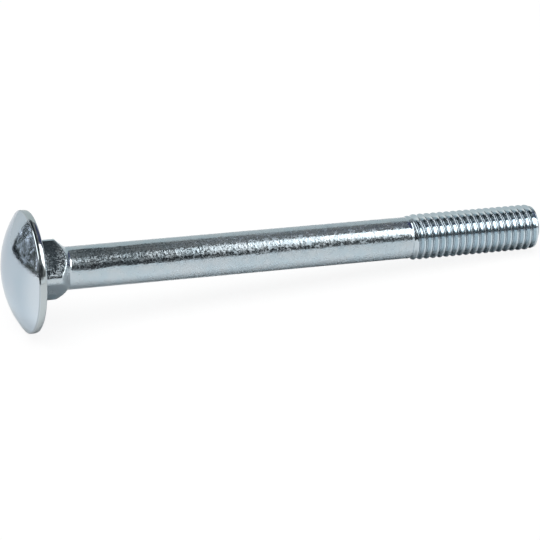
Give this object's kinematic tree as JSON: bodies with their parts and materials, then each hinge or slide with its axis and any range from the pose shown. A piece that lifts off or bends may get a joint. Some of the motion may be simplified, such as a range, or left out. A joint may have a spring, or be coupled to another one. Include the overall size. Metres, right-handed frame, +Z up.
{
  "type": "carriage bolt",
  "caption": "Carriage bolt with a domed head, a square neck, a plain shank and a rolled thread, lying on its side.",
  "frame": {"origin": "on the surface that the bolt lies on, under the middle of its box", "axes": "+Z up, +X from the head towards the threaded tip; the bolt's own axis lies in the XZ plane and falls 3.97 degrees towards the tip"},
  "size_m": [0.0948, 0.0202, 0.0202],
  "materials": {
    "zinc_plated_steel": "bright zinc plating with a faint blue tint, finely mottled"
  },
  "bodies": {
    "root": {"bolt": "zinc_plated_steel"}
  },
  "joints": []
}
